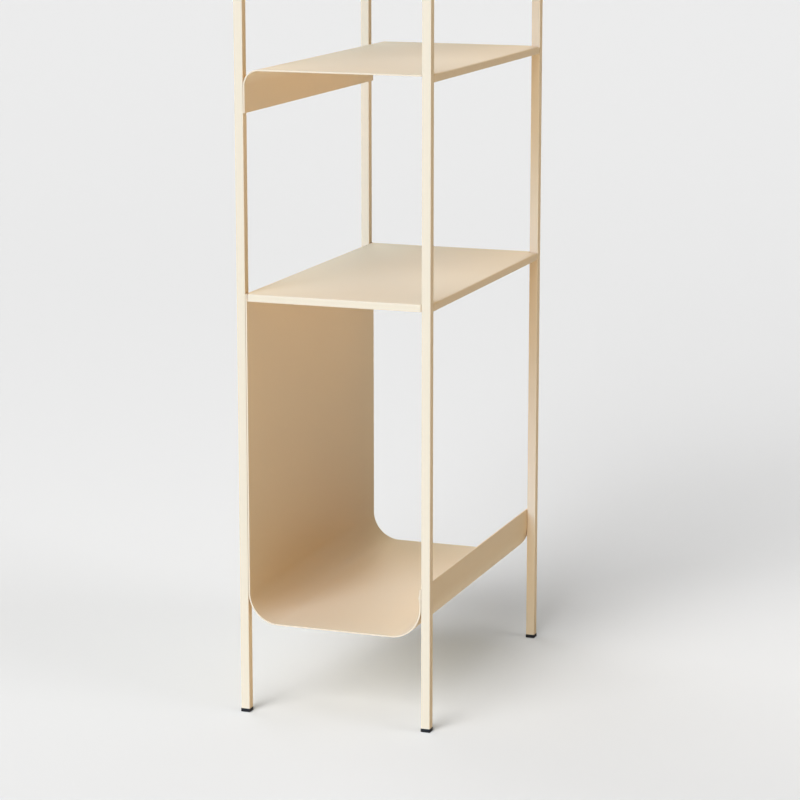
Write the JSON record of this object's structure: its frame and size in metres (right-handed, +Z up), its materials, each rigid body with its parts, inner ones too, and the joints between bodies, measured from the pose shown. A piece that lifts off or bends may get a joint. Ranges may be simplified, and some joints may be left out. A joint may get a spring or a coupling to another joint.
{
  "type": "shelving unit",
  "caption": "Tall free-standing shelving unit of bent sheet metal: a deep low cradle and shelves with low lips, hung between thin square corner posts.",
  "frame": {"origin": "on the floor, below the middle of the four posts", "axes": "+X along the shelves to the right, seen from the open front; +Y to the back; +Z up"},
  "size_m": [0.4962, 0.2812, 1.51],
  "materials": {
    "post_coat": "satin powder coat, cream to sand, on square steel tube",
    "sheet_coat": "satin powder coat, cream to sand, on folded steel sheet",
    "coated_screw": "satin powder coat on screw heads, in the frame's colour",
    "foot_black": "moulded, fine matt grain",
    "zinc": "bright zinc plate"
  },
  "bodies": {
    "root": {"post_front_left": "post_coat", "foot_cap_front_left": "foot_black", "top_cap_front_left": "post_coat", "post_front_right": "post_coat", "foot_cap_front_right": "foot_black", "top_cap_front_right": "post_coat", "post_back_left": "post_coat", "foot_cap_back_left": "foot_black", "top_cap_back_left": "post_coat", "post_back_right": "post_coat", "foot_cap_back_right": "foot_black", "top_cap_back_right": "post_coat", "cradle": "sheet_coat", "cradle_weld_bosses": "sheet_coat", "cradle_back_screws": "coated_screw", "cradle_front_screws": "coated_screw", "cradle_rivet_nuts": "zinc", "lower_tray": "sheet_coat", "lower_tray_weld_bosses": "sheet_coat", "lower_tray_back_screws": "coated_screw", "lower_tray_front_screws": "coated_screw", "lower_tray_rivet_nuts": "zinc", "lower_shelf": "sheet_coat", "lower_shelf_weld_bosses": "sheet_coat", "lower_shelf_back_screws": "coated_screw", "lower_shelf_front_screws": "coated_screw", "lower_shelf_rivet_nuts": "zinc", "upper_shelf": "sheet_coat", "upper_shelf_weld_bosses": "sheet_coat", "upper_shelf_back_screws": "coated_screw", "upper_shelf_front_screws": "coated_screw", "upper_shelf_rivet_nuts": "zinc", "top_tray": "sheet_coat", "top_tray_weld_bosses": "sheet_coat", "top_tray_back_screws": "coated_screw", "top_tray_front_screws": "coated_screw", "top_tray_rivet_nuts": "zinc", "wall_bracket_left": "post_coat", "wall_bracket_right": "post_coat", "wall_bracket_screws": "coated_screw", "wall_bracket_rivet_nuts": "zinc"}
  },
  "joints": []
}
